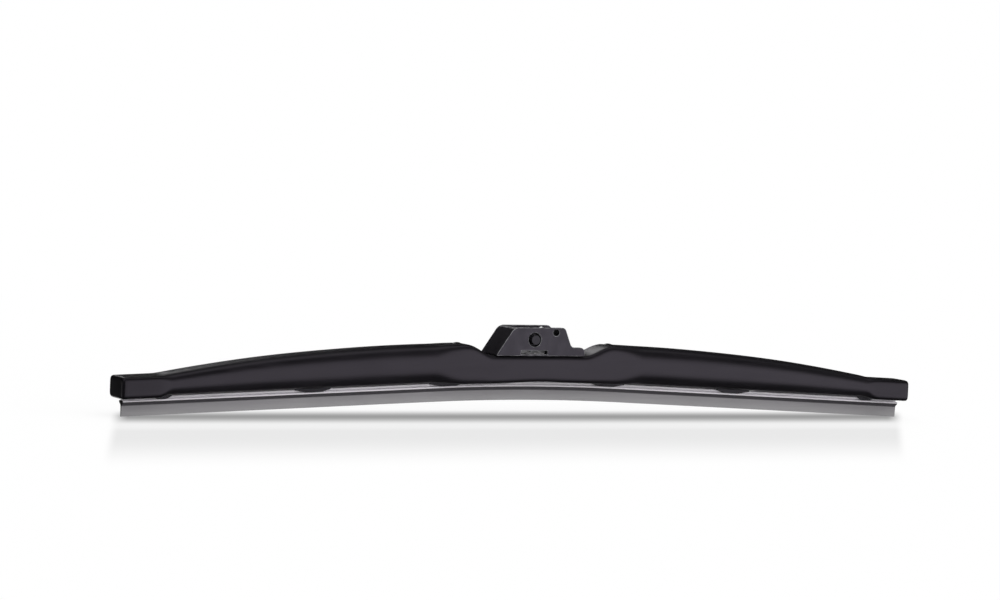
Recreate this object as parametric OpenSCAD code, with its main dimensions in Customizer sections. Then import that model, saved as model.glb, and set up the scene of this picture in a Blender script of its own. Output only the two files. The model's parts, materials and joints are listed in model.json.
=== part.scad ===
// Winter wiper blade: a three-level steel pressure frame inside a closed rubber boot,
// a squeegee held by six claws below it, and an open-topped arm connector in the middle.
// X runs along the blade, Y across it and Z away from the glass.
// The origin is the centre of the pivot pin.

/* [Blade] */
// Length over the ends of the boot
blade_l = 508; // [480:1:540]
// How far each end of the squeegee stops short of the boot's end
element_inset = 3.5; // [2:0.5:8]
// Height of the pivot pin above the top of the squeegee's head
pin_h = 25.2; // [24:0.1:28]
// Half length of the curved middle stretch of the squeegee
bow_half = 60; // [40:1:90]
// Slope of the straight outer stretches, in degrees
bow_angle = 2.55; // [1.5:0.05:3]

/* [Squeegee] */
// Width of the head and its shoulder
head_w = 6.2; // [5.6:0.1:7]
// Rubber above the steel strips
head_cap_t = 0.3; // [0.2:0.1:0.6]
// Height of the groove that the claws reach into
claw_groove_h = 0.8; // [0.7:0.05:1.2]
// Height of the shoulder below that groove
shoulder_h = 1; // [0.6:0.1:1.6]
// Height of the taper from the shoulder to the lip
taper_h = 1.9; // [1:0.1:2.6]
// Height of the lip
lip_h = 6.1; // [4:0.1:8]
// Thickness of the lip at its root
lip_root_t = 1.5; // [1:0.1:2]
// Thickness of the lip at the wiping edge
lip_tip_t = 0.8; // [0.5:0.1:1]
// Width of the rubber web between the two steel strips
head_web_w = 1.6; // [1.2:0.1:2]

/* [Steel strips] */
// Thickness of each strip
strip_t = 0.7; // [0.5:0.05:0.9]
// How far each strip stops short of the squeegee's end
strip_inset = 2; // [1:0.5:6]

/* [Claws] */
// Distance of the inner claws from the pin. These three places are for a 508 mm blade and stretch with it
inner_claw_x = 52; // [46:1:60]
// Distance of the middle claws from the pin
mid_claw_x = 136; // [130:1:144]
// Distance of the end claws from the pin
end_claw_x = 228; // [222:1:232]
// Length of the inner and middle claws
claw_l = 22; // [14:1:24]
// Length of the end claws
end_claw_l = 12; // [8:1:14]
// Thickness of a claw's hooked edge
hook_t = 0.4; // [0.4:0.05:0.6]
// How far a hook reaches in past the side of the head
hook_reach = 1.2; // [0.8:0.1:1.4]
// Share of a claw's length that has its full depth; the rest is a thin tail
claw_full = 0.45; // [0.3:0.05:0.6]

/* [Yokes] */
// Distance of the bridge's end pivots from the pin, on a 508 mm blade
yoke_pivot_x = 112; // [106:1:118]
// Depth of those pivots below the boot's crest
yoke_pivot_drop = 9.9; // [9.7:0.1:10.6]
// Distance of the claw yokes' pivots from the pin, on a 508 mm blade
claw_pivot_x = 182; // [178:1:186]
// Height of those pivots above the top of the head
claw_pivot_h = 7.6; // [7:0.1:8.4]
// Sheet thickness of the yokes
yoke_t = 1; // [0.8:0.1:1.2]
// Sheet thickness of the claw yokes
claw_yoke_t = 0.9; // [0.7:0.1:1.1]
// Steel around each pivot hole, from its centre
eye_r = 3.2; // [2.8:0.1:3.4]
// Depth of the yoke's side walls outside its pivot
yoke_depth = 8; // [7.5:0.1:9]
// Height of the yoke's top edge above the head at the inner claw
yoke_tip_h = 11.5; // [11:0.1:13]
// Depth of the yoke's side walls there
yoke_tip_depth = 4.6; // [4:0.1:5]

/* [Rivets and liners] */
// Diameter of the yoke rivets
rivet_d = 3; // [2.4:0.1:3.4]
// Diameter of their heads
rivet_head_d = 5; // [4.4:0.1:5.6]
// Thickness of their heads
rivet_head_t = 0.7; // [0.5:0.1:0.9]
// Thickness of the plastic liners
liner_t = 0.5; // [0.4:0.05:0.7]

/* [Bridge] */
// Sheet thickness of the bridge
bridge_t = 1.2; // [1:0.1:1.5]
// Radius of the lugs around the pin
lug_r = 4.8; // [4.4:0.1:5.2]
// How far each snap tab stands out of the bridge's side
tab_reach = 1.25; // [0.8:0.05:1.3]
// Length of the bridge past its end pivots
bridge_tail = 6; // [4.5:0.5:7]

/* [Boot] */
// Wall of the boot
boot_wall = 1.5; // [1:0.1:1.8]
// Room between the bridge's sides and the boot's wall
boot_gap = 1.3; // [1:0.1:2]
// Height of the boot over the top of the head at the bridge's end pivots
boot_h = 22.4; // [22:0.1:23.4]
// Distance from the middle at which the crest starts to fall
crest_x = 28; // [20:1:36]
// Radius of the crest's long curve
crest_r = 1083; // [1050:1:1150]
// Height of the end caps' top, measured from the pin
cap_z = -22.5; // [-23.5:0.1:-21.5]
// Length of each end cap
cap_l = 21; // [18:1:25]
// Length of the step between the arch and an end cap
cap_step = 9; // [6:0.5:11]
// Thickness of the end walls
cap_wall = 4.5; // [3:0.5:6]
// Radius of the rounded edge around each end
cap_edge_r = 1.8; // [1:0.1:2.4]
// How far the end caps reach down past the top of the head
cap_skirt = 1.3; // [0.6:0.1:1.6]
// Height of the saddle's floor, measured from the pin
saddle_z = -9.5; // [-10.2:0.1:-9.2]
// Half length of the saddle's floor
saddle_floor = 29; // [28.5:0.5:32]
// Length of the slope at each end of the saddle
saddle_slope = 17; // [14:1:20]
// How far the boot hangs down beside the inner claws
boot_sag = 1.1; // [0:0.1:1.4]
// Diameter of the studs that hold the boot down
stud_d = 2.4; // [2:0.1:3]
// Diameter of their heads
stud_head_d = 5.6; // [4.4:0.1:6.4]
// Height of their heads
stud_head_h = 0.8; // [0.6:0.1:1.4]

/* [Connector] */
// Width over the connector's side plates
connector_w = 22; // [21:0.5:23]
// Thickness of the side plates
plate_t = 2; // [1.5:0.1:2.2]
// Distance from the pin to the foot of the nose
nose_x = 24.5; // [22:0.5:25]
// Angle of the nose's slope, in degrees
nose_angle = 55.7; // [50:0.1:62]
// Height of the side plates above the pin
plate_top = 7.1; // [6.4:0.1:8]
// Distance from the pin to the rear end of the plates' top
top_end_x = 19.5; // [18.5:0.5:20.5]
// Distance from the pin to the knee above the tail
knee_x = 24; // [23:0.5:26]
// Distance from the pin to the end of the tail
tail_x = 32.8; // [30:0.2:33]
// Height of the tail's top edge, measured from the pin
tail_z = -4.4; // [-5:0.1:-3.5]
// Thickness of the connector's floor
floor_t = 1.4; // [1:0.1:1.6]
// Diameter of the cross hole for an arm's side pin
side_hole_d = 4; // [3:0.1:4.8]
// Distance of that hole behind the pin
side_hole_x = 13.7; // [12:0.1:15]
// Height of that hole above the pin
side_hole_z = 4.2; // [3.8:0.1:4.4]
// Length of the window in each side plate's foot
window_l = 17; // [12:1:20]
// Height of that window
window_h = 2.2; // [1.6:0.1:2.6]

/* [Pivot and hook clip] */
// Diameter of the pivot pin
pin_d = 5.6; // [4.8:0.1:6]
// How far the pin stands out of the side plates
pin_proud = 1.6; // [0.4:0.1:2]
// Diameter of the hole in the side plates around the pin
pin_window_d = 8.2; // [7.4:0.1:8.8]
// Diameter of the barrel that the arm's hook closes around
barrel_d = 8; // [7.6:0.1:8.4]
// Width of the arm's hook
hook_w = 9.4; // [9.2:0.1:10]
// Plastic around the barrel
clip_wall = 1.6; // [1.4:0.1:1.9]
// Length of the clip behind the pin
clip_l = 19; // [16:0.5:20]
// Height of the clip's rear lugs above the pin
lug_z = 6.2; // [5.5:0.1:6.4]
// Length of those lugs
lug_l = 6.4; // [5.5:0.1:7]
// Thickness of the clip's tongue
tongue_t = 1.4; // [1:0.1:1.8]

/* [Hidden] */
$fn = 48;

// Clearances
run_gap = 0.05;
side_gap = 0.1;
seat_gap = 0.02;
rub_gap = 0.15;
jaw_gap = 0.25;
boot_clear = 0.3;

// How far a cut runs past the faces that it opens
over = 1;

// Widths, from the squeegee outwards
jaw_in = head_w / 2 + jaw_gap;
claw_yoke_half = jaw_in + claw_yoke_t;
yoke_in = claw_yoke_half + liner_t + 2 * side_gap;
yoke_half = yoke_in + yoke_t;
bridge_in = yoke_half + liner_t + 2 * side_gap;
bridge_half = bridge_in + bridge_t;
boot_half = bridge_half + boot_gap + boot_wall;
clip_half = bridge_in - side_gap;
plate_out = connector_w / 2;
plate_in = plate_out - plate_t;

// Lengths and levels along the squeegee
half_l = blade_l / 2;
// The places of the claws and pivots are given for a 508 mm blade and stretch with it
stretch = blade_l / 508;
inner_at = inner_claw_x * stretch;
mid_at = mid_claw_x * stretch;
end_at = end_claw_x * stretch;
yoke_at = yoke_pivot_x * stretch;
claw_at = claw_pivot_x * stretch;
element_half = half_l - element_inset;
bow_r = bow_half / sin(bow_angle);
groove_top = head_cap_t + strip_t;
hook_top = groove_top + rub_gap;
groove_low = groove_top + claw_groove_h;
shoulder_low = groove_low + shoulder_h;
lip_top = shoulder_low + taper_h;
element_h = lip_top + lip_h;
cap_x = half_l - cap_l;

// Height of the top of the head at x: an arc in the middle, straight stretches outside it
function bow_drop(x) = abs(x) < bow_half
    ? bow_r - sqrt(bow_r * bow_r - x * x)
    : bow_r * (1 - cos(bow_angle)) + (abs(x) - bow_half) * tan(bow_angle);
function head_z(x) = -pin_h - bow_drop(x);
function head_slope(x) = abs(x) < bow_half ? asin(x / bow_r) : bow_angle;

// Blends from 0 to 1 as x goes from a to b, with level ends
function ease(x, a, b) = let (t = max(0, min(1, (x - a) / (b - a)))) t * t * (3 - 2 * t);
function lerp(a, b, t) = a + (b - a) * t;

// The saddle is centred on the connector and not on the pin
saddle_x = (tail_x - nose_x) / 2;
saddle_rim = saddle_floor + saddle_slope;
saddle_l = saddle_x - saddle_rim;
saddle_r = saddle_x + saddle_rim;
function saddle(x) = 1 - ease(abs(x - saddle_x), saddle_floor, saddle_rim);
function cap(x) = ease(abs(x), cap_x - cap_step, cap_x);

// The boot hangs lowest from sag_full to the middle of the inner claws
sag_l = 18;
sag_ramp = 12;
sag_full = inner_at - sag_l;
function sag(x) = boot_sag * ease(abs(x), sag_full - sag_ramp, sag_full)
    * (1 - ease(abs(x), inner_at, inner_at + sag_ramp));

// Outline of the boot: top, underside, squareness of its section
arch_square = 3.2;
saddle_square = 8;
square_ramp = 22;
cap_square = 7.7;
crest_full_r = crest_r * pow(stretch, 2);
function crest_drop(x) = pow(max(0, abs(x) - crest_x), 2) / (2 * crest_full_r);
crest_z = head_z(yoke_at) + boot_h + crest_drop(yoke_at);
function crest(x) = crest_z - crest_drop(x);
function boot_top(x) = lerp(lerp(crest(x), saddle_z, saddle(x)), cap_z, cap(x));
function boot_low(x) = head_z(x) + boot_clear - sag(x) - (cap_skirt + boot_clear) * cap(x);
function saddle_box(x) = 1 - ease(abs(x - saddle_x), saddle_rim, saddle_rim + square_ramp);
function squareness(x) = lerp(lerp(arch_square, saddle_square, saddle_box(x)), cap_square, cap(x));

// Places along the blade at which a curved edge is sampled
function stations(a, b, step) = let (n = max(1, ceil((b - a) / step)))
    [for (i = [0:n]) a + (b - a) * i / n];
function between(a, b, step) = [for (x = stations(a, b, step)) if (x > a && x < b) x];

// The boot and the bridge are sampled close together on the ramps of the boot's outline
long_step = 14;
ramp_step = 3;
end_x = half_l - cap_edge_r;
ramps = [[-end_x, -end_x], [-cap_x, cap_step - cap_x], [saddle_l, saddle_l + saddle_slope],
    [saddle_r - saddle_slope, saddle_r], [cap_x - cap_step, cap_x], [end_x, end_x]];
boot_stops = [for (i = [1:len(ramps) - 1]) each concat(
    between(ramps[i - 1][1], ramps[i][0], long_step),
    ramps[i][0] < ramps[i][1] ? stations(ramps[i][0], ramps[i][1], ramp_step) : [])];
function stops_within(half) = concat([-half], [for (x = boot_stops) if (abs(x) < half - over) x], [half]);

// How far the boot's inner face falls below its own crown at the bridge's side
function crown_drop(x) = let (
    w = boot_half - boot_wall,
    h = (boot_top(x) - boot_low(x)) / 2 - boot_wall,
    n = squareness(x))
    h * (1 - pow(1 - pow(bridge_half / w, n), 1 / n));

// Pivot axes as [x, z]; the claw yoke's stands square to the squeegee
yoke_axis = [yoke_at, head_z(yoke_at) + boot_h - yoke_pivot_drop];
claw_axis = [claw_at, head_z(claw_at)]
    + claw_pivot_h * [sin(head_slope(claw_at)), cos(head_slope(claw_at))];

// Heights above a pivot's axis: the crown of the inner channel and the top of the liner over it
yoke_crown = eye_r + 0.3;
claw_yoke_crown = eye_r;
function liner_top(crown) = crown + 2 * side_gap + liner_t;

// Top edge of the yoke: highest over its own pivot, level at both ends
yoke_tip_top = head_z(inner_at) + yoke_tip_h;
yoke_mid_top = yoke_axis[1] + yoke_crown;
yoke_end_top = claw_axis[1] + liner_top(claw_yoke_crown) + side_gap + yoke_t;
yoke_tip_x = inner_at - claw_l / 2 - yoke_t;
claw_step = 0.05;
function yoke_top(x) = x < yoke_axis[0]
    ? lerp(yoke_tip_top, yoke_mid_top, ease(x, inner_at, yoke_axis[0]))
    : lerp(yoke_mid_top, yoke_end_top, ease(x, yoke_axis[0], claw_axis[0] - eye_r));
function yoke_low(x) = yoke_top(x)
    - lerp(yoke_tip_depth, yoke_depth, ease(x, inner_at + claw_l / 2, yoke_axis[0]));

// Edges of the bridge
bridge_low_z = yoke_axis[1] - eye_r - 0.6;
function bridge_top(x) = boot_top(x) - boot_wall - crown_drop(x) - boot_clear;
bridge_end_x = yoke_axis[0] + bridge_tail;

// Window in the bridge's web, the boot's saddle and the connector's floor, from the pin: it leaves
// room for the arm's hook in front of the lugs and behind the clip
hook_room_front = 9;
hook_room_back = 6;
hole_front = lug_r + hook_room_front;
hole_back = clip_l + hook_room_back;

// The studs stand on the arch just past the saddle
stud_past_rim = 3;
stud_below_web = 3;
stud_x = saddle_rim + stud_past_rim;
stud_reach = boot_wall + bridge_t + stud_below_web;

// Levels of the connector, and of the windows in its foot
connector_low = saddle_z + side_gap;
window_z = connector_low + floor_t - 0.5;

// An outline with round corners. Each corner is [x, z, radius]
function unit(v) = v / norm(v);
function corner(p, q, s, r) = let (
    a = unit([p[0] - q[0], p[1] - q[1]]),
    b = unit([s[0] - q[0], s[1] - q[1]]),
    half = acos(max(-1, min(1, a * b))) / 2,
    c = [q[0], q[1]] + unit(a + b) * r / sin(half),
    ta = [q[0], q[1]] + a * r / tan(half),
    tb = [q[0], q[1]] + b * r / tan(half),
    a0 = atan2(ta[1] - c[1], ta[0] - c[0]),
    turn = atan2(tb[1] - c[1], tb[0] - c[0]) - a0,
    sweep = turn > 180 ? turn - 360 : turn < -180 ? turn + 360 : turn,
    n = max(2, ceil(abs(sweep) / 12)))
    [for (i = [0:n]) c + r * [cos(a0 + sweep * i / n), sin(a0 + sweep * i / n)]];
function rounded(pts) = let (n = len(pts))
    [for (i = [0:n - 1]) each pts[i][2] > 0
        ? corner(pts[(i + n - 1) % n], pts[i], pts[(i + 1) % n], pts[i][2])
        : [[pts[i][0], pts[i][1]]]];

// A plate with its outline in XZ, between y = from and y = to
module plate(outline, from, to) {
    translate([0, to, 0])
        rotate([90, 0, 0])
            linear_extrude(to - from)
                polygon(outline);
}

// A pin along Y
module cross_pin(d, from, to) {
    translate([0, to, 0])
        rotate([90, 0, 0])
            cylinder(h = to - from, d = d);
}

module mirrored_y() {
    children();
    mirror([0, 1, 0])
        children();
}

// A pressed channel, open below: outline is [top edge, bottom edge], both from left to right
module channel(top, low, half, t) {
    n = len(low);
    back = [for (i = [n - 1:-1:0]) low[i]];
    inner_top = [for (p = top) [p[0], p[1] - t]];
    first = top[0][0];
    last = top[len(top) - 1][0];
    z_min = min([for (p = low) p[1]]) - over;
    difference() {
        plate(concat(top, back), -half, half);
        plate(concat([[first - over, z_min], [first - over, inner_top[0][1]]], inner_top,
            [[last + over, inner_top[len(top) - 1][1]], [last + over, z_min]]), -half + t, half - t);
    }
}

// One side of a claw: the wall, a joggle inwards, the leg and the hooked edge.
// Levels are measured from the top of the head, x from the claw's middle.
module claw_side(length, wall_out, t, z_top, joggle_z) {
    leg_out = jaw_in + t;
    hook_in = head_w / 2 - hook_reach;
    hook_low = hook_top + hook_t;
    leaf_tip = 0.2;
    // The leaf's full depth, shared out on both sides of the middle
    full_out = 0.6 * length * claw_full;
    full_in = 0.4 * length * claw_full;
    leaf_r = length / 4;
    bend_z = joggle_z + wall_out - leg_out;
    section = [
        [wall_out, z_top], [wall_out, bend_z], [leg_out, joggle_z], [leg_out, -hook_low],
        [hook_in, -hook_low], [hook_in, -hook_top], [jaw_in, -hook_top],
        [jaw_in, joggle_z + t / 2], [wall_out - t, bend_z + t / 2], [wall_out - t, z_top]];
    intersection() {
        translate([length / 2, 0, 0])
            rotate([90, 0, -90])
                linear_extrude(length)
                    polygon([for (p = section) [-p[0], p[1]]]);
        // Seen from the side the claw is a leaf, with its longer tail away from the pin
        plate(rounded([[-length / 2, z_top + over, 0], [-length / 2, -leaf_tip, leaf_tip],
            [-full_out, -hook_low, leaf_r], [full_in, -hook_low, leaf_r],
            [length / 2, -leaf_tip, leaf_tip], [length / 2, z_top + over, 0]]),
            -wall_out - over, wall_out + over);
    }
}

// Moves its children to a pivot axis
module at(axis) {
    translate([axis[0], 0, axis[1]])
        children();
}

// Moves its children to the top of the head at x, in line with the squeegee there
module on_head(x) {
    translate([x, 0, head_z(x)])
        rotate([0, head_slope(x), 0])
            children();
}

// The squeegee's section, from the middle of the top round the front side
function element_section() = let (
    cap_half = head_w / 2 - rub_gap,
    side = [
        [cap_half, 0], [cap_half, -head_cap_t], [head_web_w / 2, -head_cap_t],
        [head_web_w / 2, -groove_top], [head_web_w / 2, -groove_low], [head_w / 2, -groove_low],
        [head_w / 2, -shoulder_low], [lip_root_t / 2, -lip_top], [lip_tip_t / 2, -element_h]],
    n = len(side))
    concat(side, [for (i = [n - 1:-1:0]) [-side[i][0], side[i][1]]]);

// A closed skin through rings of equal length, from -X to +X, each clockwise as seen from +X
module skin(rings) {
    n = len(rings);
    m = len(rings[0]);
    points = [for (r = rings) each r];
    sides = [for (i = [0:n - 2]) for (j = [0:m - 1]) let (k = (j + 1) % m)
        each [[i * m + j, i * m + k, (i + 1) * m + k], [i * m + j, (i + 1) * m + k, (i + 1) * m + j]]];
    polyhedron(points, concat([[for (j = [m - 1:-1:0]) j]], sides, [[for (j = [0:m - 1]) (n - 1) * m + j]]));
}

module squeegee() {
    stops = concat([-element_half], stations(-bow_half, bow_half, long_step), [element_half]);
    color([0.2, 0.2, 0.21])
        skin([for (x = stops) [for (p = element_section()) [x, p[0], head_z(x) + p[1]]]]);
}

// One spring-steel strip in the side groove of the head
module vertebra() {
    end = element_half - strip_inset;
    stops = concat([-end], stations(-bow_half, bow_half, long_step), [end]);
    n = len(stops);
    top = head_cap_t + seat_gap;
    low = groove_top;
    color([0.75, 0.76, 0.78])
        plate(concat([for (x = stops) [x, head_z(x) - top]],
            [for (i = [n - 1:-1:0]) [stops[i], head_z(stops[i]) - low]]),
            head_web_w / 2 + seat_gap, head_w / 2);
}

// One ring of the boot, drawn in from its outline by inset
function boot_ring(x, inset, count) = let (
    top = boot_top(x) - inset,
    low = boot_low(x) + inset,
    w = boot_half - inset,
    e = 2 / squareness(x))
    [for (i = [0:count - 1]) let (a = -360 * i / count)
        [x, w * sign(cos(a)) * pow(abs(cos(a)), e),
        (top + low) / 2 + (top - low) / 2 * sign(sin(a)) * pow(abs(sin(a)), e)]];

// Rings of one end of the boot, from the end face inwards: its edge is rounded over
function end_rings(side, count) = [for (a = [0:22.5:90]) let (inset = cap_edge_r * (1 - sin(a)))
    [for (p = boot_ring(side * end_x, inset, count))
        [side * (half_l - cap_edge_r * (1 - cos(a))), p[1], p[2]]]];
function reversed(list) = [for (i = [len(list) - 1:-1:0]) list[i]];

// The slots in the boot's floor that a claw's two legs pass through
module claw_slots(x, length) {
    slot_l = length + 2 * boot_clear;
    slot_in = head_w / 2 - side_gap;
    slot_w = jaw_in + yoke_t + 2 * boot_clear - slot_in;
    on_head(x)
        mirrored_y()
            translate([-slot_l / 2, slot_in, -cap_skirt - over])
                cube([slot_l, slot_w, cap_skirt + boot_wall + boot_clear + 2 * over]);
}

// The window that the lugs and the hook clip stand in, cut from z to z + h
module hole_for_clip(half, z, h) {
    translate([-hole_front, -half, z])
        cube([hole_front + hole_back, 2 * half, h]);
}

module boot() {
    outer_sides = 32;
    inner_sides = 20;
    cavity_half = half_l - cap_wall;
    groove_half = element_half + side_gap;
    groove_w = head_w / 2 + 4 * side_gap;
    floor_up = boot_clear + boot_wall;
    color([0.12, 0.12, 0.13])
        difference() {
            skin(concat(end_rings(-1, outer_sides), [for (x = boot_stops) boot_ring(x, 0, outer_sides)],
                reversed(end_rings(1, outer_sides))));
            // Hollow for the frame, with a floor that follows the squeegee
            skin([for (x = stops_within(cavity_half)) [for (p = boot_ring(x, boot_wall, inner_sides))
                [x, p[1], max(p[2], head_z(x) + floor_up)]]]);
            // Channel over the head of the squeegee
            skin([for (x = concat([-groove_half], stations(-bow_half, bow_half, long_step), [groove_half]))
                [for (p = [[-1, -cap_skirt - over], [-1, boot_clear], [1, boot_clear], [1, -cap_skirt - over]])
                    [x, p[0] * groove_w, head_z(x) + p[1]]]]);
            for (side = [0, 1])
                mirror([side, 0, 0]) {
                    claw_slots(inner_at, claw_l);
                    claw_slots(mid_at, claw_l);
                    claw_slots(end_at, end_claw_l);
                }
            hole_for_clip(bridge_half + boot_clear, saddle_z - boot_wall - over, boot_wall + 2 * over);
            for (side = [-1, 1])
                translate([saddle_x + side * stud_x, 0, boot_top(saddle_x + side * stud_x) - stud_reach])
                    cylinder(h = stud_reach + over, d = stud_d + 2 * seat_gap);
        }
}

// A domed stud through the boot and the bridge's web, from its foot to the top of its head
module boot_stud(side) {
    x = saddle_x + side * stud_x;
    foot = bridge_top(x) - bridge_t - 0.6;
    seat = seat_gap + max(boot_top(x - stud_head_d / 2), boot_top(x + stud_head_d / 2));
    dome_r = (pow(stud_head_d / 2, 2) + pow(stud_head_h, 2)) / (2 * stud_head_h);
    dome_angle = asin(stud_head_d / 2 / dome_r);
    color([0.16, 0.16, 0.17])
        translate([x, 0, 0])
            rotate_extrude()
                polygon(concat([[0, foot], [stud_d / 2, foot], [stud_d / 2, seat]],
                    [for (i = [6:-1:0]) let (s = dome_angle * i / 6)
                        [dome_r * sin(s), seat + stud_head_h - dome_r * (1 - cos(s))]]));
}

// The lugs rise from the bridge's sides to a round eye about the pin
lug_foot_z = saddle_z - boot_wall - 2;
lug_waist_z = -1;
lug_waist_x = lug_r + 2;
lug_outline = rounded([[-hole_front + over, lug_foot_z, 0], [-lug_waist_x, lug_waist_z, 3],
    [-lug_r, lug_r, lug_r * 0.9], [lug_r, lug_r, lug_r * 0.9], [lug_waist_x, lug_waist_z, 3],
    [hole_back - 4, lug_foot_z, 0]]);

// A pressed-out tab that snaps into the window of the connector's side plate
module snap_tab() {
    tab_h = window_h * 0.7;
    tab_out = bridge_half + tab_reach;
    translate([over - window_l / 2, 0, window_z + window_h * 0.15])
        rotate([90, 0, 90])
            linear_extrude(window_l - 2 * over)
                polygon([[bridge_in, tab_h], [tab_out, tab_h / 3], [tab_out, 0], [bridge_in, 0]]);
}

module bridge() {
    stops = stops_within(bridge_end_x);
    color([0.18, 0.18, 0.2])
        difference() {
            union() {
                channel([for (x = stops) [x, bridge_top(x)]],
                    [for (x = [-bridge_end_x, bridge_end_x]) [x, bridge_low_z]], bridge_half, bridge_t);
                mirrored_y()
                    plate(lug_outline, bridge_in, bridge_half);
                mirrored_y()
                    snap_tab();
            }
            hole_for_clip(bridge_in, lug_foot_z - over, saddle_z - lug_foot_z + over);
            cross_pin(pin_d + 2 * seat_gap, -bridge_half - over, bridge_half + over);
            for (side = [-1, 1]) {
                translate([side * yoke_axis[0], 0, yoke_axis[1]])
                    cross_pin(rivet_d + 2 * seat_gap, -bridge_half - over, bridge_half + over);
                translate([saddle_x + side * stud_x, 0, boot_top(saddle_x + side * stud_x) - stud_reach])
                    cylinder(h = stud_reach, d = stud_d + 2 * seat_gap);
            }
        }
}

module yoke() {
    stops = stations(yoke_tip_x, claw_axis[0] + eye_r, long_step);
    // The side walls run down to the claw's walls, which joggle inwards to the head
    foot = yoke_low(inner_at) - head_z(inner_at);
    lap = yoke_t;
    // The claw's wall stands a hair inside the side wall, so that the two never share a plane
    claw_wall = yoke_half - claw_step;
    color([0.2, 0.2, 0.22])
        difference() {
            union() {
                channel([for (x = stops) [x, yoke_top(x)]], [for (x = stops) [x, yoke_low(x)]],
                    yoke_half, yoke_t);
                on_head(inner_at)
                    mirrored_y()
                        claw_side(claw_l, claw_wall, yoke_t, foot + lap, foot - (claw_wall - jaw_in - yoke_t));
            }
            at(yoke_axis)
                cross_pin(rivet_d + 2 * run_gap, -yoke_half - over, yoke_half + over);
            at(claw_axis)
                cross_pin(rivet_d + 2 * seat_gap, -yoke_half - over, yoke_half + over);
        }
}

// The claw yoke in line with the squeegee: x from its pivot, z from the top of the head
module claw_yoke() {
    inner = mid_at - claw_at;
    outer = end_at - claw_at;
    from = inner - claw_l / 2;
    to = outer + end_claw_l / 2;
    crown = claw_pivot_h + claw_yoke_crown;
    tip_top = claw_pivot_h - 2.6;
    // The side walls are cut higher between the claws
    foot = boot_clear + boot_wall + 1.6;
    arch = foot + 0.8;
    flare = 6;
    stops = stations(from, to, long_step);
    color([0.2, 0.2, 0.22])
        on_head(claw_at)
            difference() {
                union() {
                    channel([for (x = stops) [x, lerp(crown, tip_top, pow(x / max(-from, to), 2))]],
                        [[from, foot], [inner + claw_l / 2, foot], [inner + claw_l / 2 + flare, arch],
                        [outer - end_claw_l / 2 - flare, arch], [outer - end_claw_l / 2, foot], [to, foot]],
                        claw_yoke_half, claw_yoke_t);
                    translate([inner, 0, 0])
                        mirrored_y()
                            claw_side(claw_l, claw_yoke_half, claw_yoke_t, arch, foot / 2);
                    translate([outer, 0, 0])
                        mirrored_y()
                            claw_side(end_claw_l, claw_yoke_half, claw_yoke_t, arch, foot / 2);
                }
                translate([0, 0, claw_pivot_h])
                    cross_pin(rivet_d + 2 * run_gap, -claw_yoke_half - over, claw_yoke_half + over);
            }
}

// A rivet through a pivot, with a head on each side
module rivet(half) {
    color([0.62, 0.63, 0.65])
        union() {
            cross_pin(rivet_d, -half - rivet_head_t, half + rivet_head_t);
            mirrored_y()
                cross_pin(rivet_head_d, half + seat_gap, half + rivet_head_t);
        }
}

// A plastic liner astride the inner channel, with a strap over its crown
module liner(inner_half, crown) {
    inside_y = inner_half + side_gap;
    out = inside_y + liner_t;
    cheek_r = eye_r - 0.2;
    strap_half = cheek_r - 0.3;
    color([0.1, 0.1, 0.1])
        difference() {
            union() {
                cross_pin(2 * cheek_r, -out, out);
                translate([-strap_half, -out, 0])
                    cube([2 * strap_half, 2 * out, liner_top(crown)]);
            }
            translate([-cheek_r - over, -inside_y, -cheek_r - over])
                cube([2 * (cheek_r + over), 2 * inside_y, cheek_r + over + liner_top(crown) - liner_t]);
            cross_pin(rivet_d + 2 * run_gap, -out - over, out + over);
        }
}

module yoke_liner() {
    liner(yoke_half, yoke_crown);
}

module claw_liner() {
    liner(claw_yoke_half, claw_yoke_crown);
}

// The pin, with a collar on each side that keeps the connector off the bridge
module pivot_pin() {
    collar_d = pin_d + 1.4;
    color([0.3, 0.3, 0.32])
        union() {
            cross_pin(pin_d, -plate_out - pin_proud, plate_out + pin_proud);
            mirrored_y()
                cross_pin(collar_d, bridge_half + seat_gap, plate_in - side_gap);
        }
}

module connector() {
    rise = plate_top - connector_low;
    nose_top_x = -nose_x + rise / tan(nose_angle);
    floor_z = connector_low + floor_t;
    above = plate_top + over;
    nose_r = 6;
    top_r = 2.8;
    tail_r = 3;
    foot_r = 0.5;
    heel_r = 0.3;
    tail_draft = 0.2;
    // Inner face of the nose at a given height
    function nose_in(z) = -nose_x + plate_t / sin(nose_angle) + (z - connector_low) / tan(nose_angle);
    color([0.25, 0.25, 0.27])
        difference() {
            plate(rounded([[-nose_x, connector_low, foot_r], [nose_top_x, plate_top, nose_r],
                [top_end_x, plate_top, top_r], [knee_x, tail_z, tail_r], [tail_x - tail_draft, tail_z, tail_r],
                [tail_x, connector_low, heel_r]]), -plate_out, plate_out);
            // Channel for the arm, open above and behind
            plate([[nose_in(floor_z), floor_z], [nose_in(above), above],
                [tail_x + over, above], [tail_x + over, floor_z]], -plate_in, plate_in);
            hole_for_clip(bridge_half + boot_clear, connector_low - over, floor_t + 2 * over);
            cross_pin(pin_window_d, -plate_out - over, plate_out + over);
            translate([side_hole_x, 0, side_hole_z])
                cross_pin(side_hole_d, -plate_out - over, plate_out + over);
            // Windows that the bridge's tabs snap into
            translate([-window_l / 2, -plate_out - over, window_z])
                cube([window_l, 2 * (plate_out + over), window_h]);
        }
}

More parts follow.
